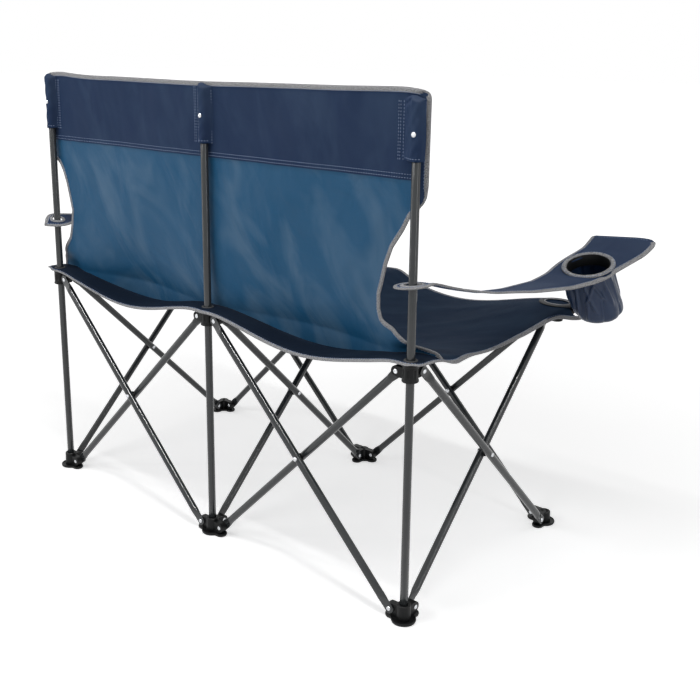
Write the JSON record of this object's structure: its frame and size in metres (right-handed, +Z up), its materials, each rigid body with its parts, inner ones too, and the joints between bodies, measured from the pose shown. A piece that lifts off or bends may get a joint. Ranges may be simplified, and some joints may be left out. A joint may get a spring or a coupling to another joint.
{
  "type": "folding camping loveseat",
  "caption": "Folding camping loveseat: crossed tube frame, stretched cloth seat and banded back, sling armrests with hanging cup pouches.",
  "frame": {"origin": "on the floor, under the rear centre post", "axes": "+X to the sitter's left, +Y to the rear, +Z up"},
  "size_m": [1.3968, 0.5649, 0.944],
  "materials": {
    "steel": "satin dark grey powder coat",
    "zinc": "bright zinc",
    "moulding": "black moulded plastic",
    "navy_cloth": "navy woven cloth",
    "seat_cloth": "dark navy woven cloth",
    "blue_cloth": "steel blue coated cloth, slight sheen"
  },
  "bodies": {
    "rear_centre_frame": {"rear_centre_foot": "moulding", "rear_centre_post": "steel", "rear_centre_sleeve": "navy_cloth", "backrest_band": "navy_cloth", "backrest_panel": "blue_cloth"},
    "rear_left_a_bar": {"rear_left_cross_tube_a": "steel", "rear_left_crossing_rivet": "zinc", "rear_left_crossing_spacer": "moulding"},
    "rear_left_b_bar": {"rear_left_cross_tube_b": "steel"},
    "rear_right_a_bar": {"rear_right_cross_tube_a": "steel"},
    "rear_right_b_bar": {"rear_right_cross_tube_b": "steel", "rear_right_crossing_rivet": "zinc", "rear_right_crossing_spacer": "moulding"},
    "front_left_a_bar": {"front_left_cross_tube_a": "steel"},
    "front_left_b_bar": {"front_left_cross_tube_b": "steel", "front_left_crossing_rivet": "zinc", "front_left_crossing_spacer": "moulding"},
    "front_right_a_bar": {"front_right_cross_tube_a": "steel", "front_right_crossing_rivet": "zinc", "front_right_crossing_spacer": "moulding"},
    "front_right_b_bar": {"front_right_cross_tube_b": "steel"},
    "side_left_a_bar": {"side_left_cross_tube_a": "steel"},
    "side_left_b_bar": {"side_left_cross_tube_b": "steel", "side_left_crossing_rivet": "zinc", "side_left_crossing_spacer": "moulding"},
    "middle_a_bar": {"middle_cross_tube_a": "steel"},
    "middle_b_bar": {"middle_cross_tube_b": "steel", "middle_crossing_rivet": "zinc", "middle_crossing_spacer": "moulding"},
    "side_right_a_bar": {"side_right_cross_tube_a": "steel"},
    "side_right_b_bar": {"side_right_cross_tube_b": "steel", "side_right_crossing_rivet": "zinc", "side_right_crossing_spacer": "moulding"},
    "rear_left_upright": {"rear_left_foot": "moulding", "rear_left_post": "steel", "rear_left_sleeve": "navy_cloth"},
    "rear_right_upright": {"rear_right_foot": "moulding", "rear_right_post": "steel", "rear_right_sleeve": "navy_cloth"},
    "front_left_base": {"front_left_foot": "moulding"},
    "front_centre_base": {"front_centre_foot": "moulding"},
    "front_right_base": {"front_right_foot": "moulding"},
    "rear_left_slider": {"rear_left_hub": "moulding"},
    "rear_centre_slider": {"rear_centre_hub": "moulding"},
    "rear_right_slider": {"rear_right_hub": "moulding"},
    "front_left_corner": {"front_left_hub": "moulding"},
    "front_centre_corner": {"front_centre_hub": "moulding"},
    "front_right_corner": {"front_right_hub": "moulding"},
    "left_arm_support": {"left_arm_post": "steel", "left_arm_cap": "moulding"},
    "left_arm_sling": {"left_armrest": "navy_cloth", "left_cup_pouch": "navy_cloth"},
    "right_arm_support": {"right_arm_post": "steel", "right_arm_cap": "moulding"},
    "right_arm_sling": {"right_armrest": "navy_cloth", "right_cup_pouch": "navy_cloth"},
    "seat_rear_half": {"seat_rear_left": "seat_cloth", "seat_rear_right": "seat_cloth"},
    "seat_front_half": {"seat_front_left": "seat_cloth", "seat_front_right": "seat_cloth"}
  },
  "joints": [
    {"name": "fold", "type": "hinge", "parent": "rear_centre_frame", "child": "rear_left_a_bar", "pos_m": [0.027, 0.0085, 0.018], "axis": [0, -1, 0], "range_deg": [0, 42], "deforming": ["seat_rear_left", "seat_rear_right", "seat_front_left", "seat_front_right", "backrest_band", "backrest_panel", "left_armrest", "right_armrest", "left_cup_pouch", "right_cup_pouch"]},
    {"name": "rear_right_b_foot_pivot", "type": "hinge", "parent": "rear_centre_frame", "child": "rear_right_b_bar", "pos_m": [-0.027, -0.0085, 0.018], "axis": [0, 1, 0], "range_deg": [0, 42]},
    {"name": "rear_right_crossing", "type": "hinge", "parent": "rear_right_b_bar", "child": "rear_right_a_bar", "pos_m": [-0.254, 0, 0.245], "axis": [0, -1, 0], "range_deg": [0, 84]},
    {"name": "rear_left_crossing", "type": "hinge", "parent": "rear_left_a_bar", "child": "rear_left_b_bar", "pos_m": [0.254, 0, 0.245], "axis": [0, 1, 0], "range_deg": [0, 84]},
    {"name": "rear_right_foot_pivot", "type": "hinge", "parent": "rear_right_a_bar", "child": "rear_right_upright", "pos_m": [-0.481, 0.0085, 0.018], "axis": [0, 1, 0], "range_deg": [0, 42]},
    {"name": "rear_left_foot_pivot", "type": "hinge", "parent": "rear_left_b_bar", "child": "rear_left_upright", "pos_m": [0.481, -0.0085, 0.018], "axis": [0, -1, 0], "range_deg": [0, 42]},
    {"name": "rear_centre_hub_pivot", "type": "hinge", "parent": "rear_right_a_bar", "child": "rear_centre_slider", "pos_m": [-0.027, 0.0085, 0.472], "axis": [0, 1, 0], "range_deg": [0, 42]},
    {"name": "rear_right_hub_pivot", "type": "hinge", "parent": "rear_right_b_bar", "child": "rear_right_slider", "pos_m": [-0.481, -0.0085, 0.472], "axis": [0, -1, 0], "range_deg": [0, 42]},
    {"name": "rear_left_hub_pivot", "type": "hinge", "parent": "rear_left_a_bar", "child": "rear_left_slider", "pos_m": [0.481, 0.0085, 0.472], "axis": [0, 1, 0], "range_deg": [0, 42]},
    {"name": "middle_b_foot_pivot", "type": "hinge", "parent": "rear_centre_frame", "child": "middle_b_bar", "pos_m": [0.0085, -0.027, 0.018], "axis": [-1, 0, 0], "range_deg": [0, 42]},
    {"name": "middle_crossing", "type": "hinge", "parent": "middle_b_bar", "child": "middle_a_bar", "pos_m": [0, -0.254, 0.245], "axis": [1, 0, 0], "range_deg": [0, 84]},
    {"name": "front_centre_foot_pivot", "type": "hinge", "parent": "middle_a_bar", "child": "front_centre_base", "pos_m": [-0.0085, -0.481, 0.018], "axis": [-1, 0, 0], "range_deg": [0, 42]},
    {"name": "front_centre_hub_pivot", "type": "hinge", "parent": "middle_b_bar", "child": "front_centre_corner", "pos_m": [0.0085, -0.481, 0.472], "axis": [1, 0, 0], "range_deg": [0, 42]},
    {"name": "front_right_a_foot_pivot", "type": "hinge", "parent": "front_centre_base", "child": "front_right_a_bar", "pos_m": [-0.027, -0.5165, 0.018], "axis": [0, 1, 0], "range_deg": [0, 42]},
    {"name": "front_left_b_foot_pivot", "type": "hinge", "parent": "front_centre_base", "child": "front_left_b_bar", "pos_m": [0.027, -0.4995, 0.018], "axis": [0, -1, 0], "range_deg": [0, 42]},
    {"name": "front_right_crossing", "type": "hinge", "parent": "front_right_a_bar", "child": "front_right_b_bar", "pos_m": [-0.254, -0.508, 0.245], "axis": [0, -1, 0], "range_deg": [0, 84]},
    {"name": "front_left_crossing", "type": "hinge", "parent": "front_left_b_bar", "child": "front_left_a_bar", "pos_m": [0.254, -0.508, 0.245], "axis": [0, 1, 0], "range_deg": [0, 84]},
    {"name": "front_right_foot_pivot", "type": "hinge", "parent": "front_right_b_bar", "child": "front_right_base", "pos_m": [-0.481, -0.4995, 0.018], "axis": [0, 1, 0], "range_deg": [0, 42]},
    {"name": "front_left_foot_pivot", "type": "hinge", "parent": "front_left_a_bar", "child": "front_left_base", "pos_m": [0.481, -0.5165, 0.018], "axis": [0, -1, 0], "range_deg": [0, 42]},
    {"name": "front_right_hub_pivot", "type": "hinge", "parent": "front_right_a_bar", "child": "front_right_corner", "pos_m": [-0.481, -0.5165, 0.472], "axis": [0, -1, 0], "range_deg": [0, 42]},
    {"name": "front_left_hub_pivot", "type": "hinge", "parent": "front_left_b_bar", "child": "front_left_corner", "pos_m": [0.481, -0.4995, 0.472], "axis": [0, 1, 0], "range_deg": [0, 42]},
    {"name": "side_left_b_foot_pivot", "type": "hinge", "parent": "rear_left_upright", "child": "side_left_b_bar", "pos_m": [0.5165, -0.027, 0.018], "axis": [-1, 0, 0], "range_deg": [0, 42]},
    {"name": "side_left_crossing", "type": "hinge", "parent": "side_left_b_bar", "child": "side_left_a_bar", "pos_m": [0.508, -0.254, 0.245], "axis": [1, 0, 0], "range_deg": [0, 84]},
    {"name": "side_right_b_foot_pivot", "type": "hinge", "parent": "rear_right_upright", "child": "side_right_b_bar", "pos_m": [-0.4995, -0.027, 0.018], "axis": [-1, 0, 0], "range_deg": [0, 42]},
    {"name": "side_right_crossing", "type": "hinge", "parent": "side_right_b_bar", "child": "side_right_a_bar", "pos_m": [-0.508, -0.254, 0.245], "axis": [1, 0, 0], "range_deg": [0, 84]},
    {"name": "right_arm_lean", "type": "hinge", "parent": "front_right_corner", "child": "right_arm_support", "pos_m": [-0.532, -0.5165, 0.48], "axis": [0, 1, 0], "range_deg": [0, 37.2]},
    {"name": "left_arm_lean", "type": "hinge", "parent": "front_left_corner", "child": "left_arm_support", "pos_m": [0.532, -0.5165, 0.48], "axis": [0, -1, 0], "range_deg": [0, 37.2]},
    {"name": "seat_rear_drop", "type": "hinge", "parent": "rear_centre_slider", "child": "seat_rear_half", "pos_m": [0, -0.024, 0.4949], "axis": [1, 0, 0], "range_deg": [0, 85.3]},
    {"name": "seat_front_drop", "type": "hinge", "parent": "front_centre_corner", "child": "seat_front_half", "pos_m": [0, -0.484, 0.4949], "axis": [-1, 0, 0], "range_deg": [0, 85.3]},
    {"name": "right_armrest_lift", "type": "hinge", "parent": "rear_right_slider", "child": "right_arm_sling", "pos_m": [-0.508, 0, 0.622], "axis": [-1, 0, 0], "range_deg": [0, 30]},
    {"name": "left_armrest_lift", "type": "hinge", "parent": "rear_left_slider", "child": "left_arm_sling", "pos_m": [0.508, 0, 0.622], "axis": [-1, 0, 0], "range_deg": [0, 30]}
  ],
  "couplings": [
    {"joint": "rear_right_b_foot_pivot", "follows": "fold", "ratio": 1},
    {"joint": "rear_right_crossing", "follows": "fold", "ratio": 2},
    {"joint": "rear_left_crossing", "follows": "fold", "ratio": 2},
    {"joint": "rear_right_foot_pivot", "follows": "fold", "ratio": 1},
    {"joint": "rear_left_foot_pivot", "follows": "fold", "ratio": 1},
    {"joint": "rear_centre_hub_pivot", "follows": "fold", "ratio": 1},
    {"joint": "rear_right_hub_pivot", "follows": "fold", "ratio": 1},
    {"joint": "rear_left_hub_pivot", "follows": "fold", "ratio": 1},
    {"joint": "middle_b_foot_pivot", "follows": "fold", "ratio": 1},
    {"joint": "middle_crossing", "follows": "fold", "ratio": 2},
    {"joint": "front_centre_foot_pivot", "follows": "fold", "ratio": 1},
    {"joint": "front_centre_hub_pivot", "follows": "fold", "ratio": 1},
    {"joint": "front_right_a_foot_pivot", "follows": "fold", "ratio": 1},
    {"joint": "front_left_b_foot_pivot", "follows": "fold", "ratio": 1},
    {"joint": "front_right_crossing", "follows": "fold", "ratio": 2},
    {"joint": "front_left_crossing", "follows": "fold", "ratio": 2},
    {"joint": "front_right_foot_pivot", "follows": "fold", "ratio": 1},
    {"joint": "front_left_foot_pivot", "follows": "fold", "ratio": 1},
    {"joint": "front_right_hub_pivot", "follows": "fold", "ratio": 1},
    {"joint": "front_left_hub_pivot", "follows": "fold", "ratio": 1},
    {"joint": "side_left_b_foot_pivot", "follows": "fold", "ratio": 1},
    {"joint": "side_left_crossing", "follows": "fold", "ratio": 2},
    {"joint": "side_right_b_foot_pivot", "follows": "fold", "ratio": 1},
    {"joint": "side_right_crossing", "follows": "fold", "ratio": 2},
    {"joint": "right_arm_lean", "follows": "fold", "ratio": 0.884},
    {"joint": "left_arm_lean", "follows": "fold", "ratio": 0.884},
    {"joint": "seat_rear_drop", "follows": "fold", "ratio": 2.029},
    {"joint": "seat_front_drop", "follows": "fold", "ratio": 2.029},
    {"joint": "right_armrest_lift", "follows": "fold", "ratio": 0.714},
    {"joint": "left_armrest_lift", "follows": "fold", "ratio": 0.714}
  ]
}
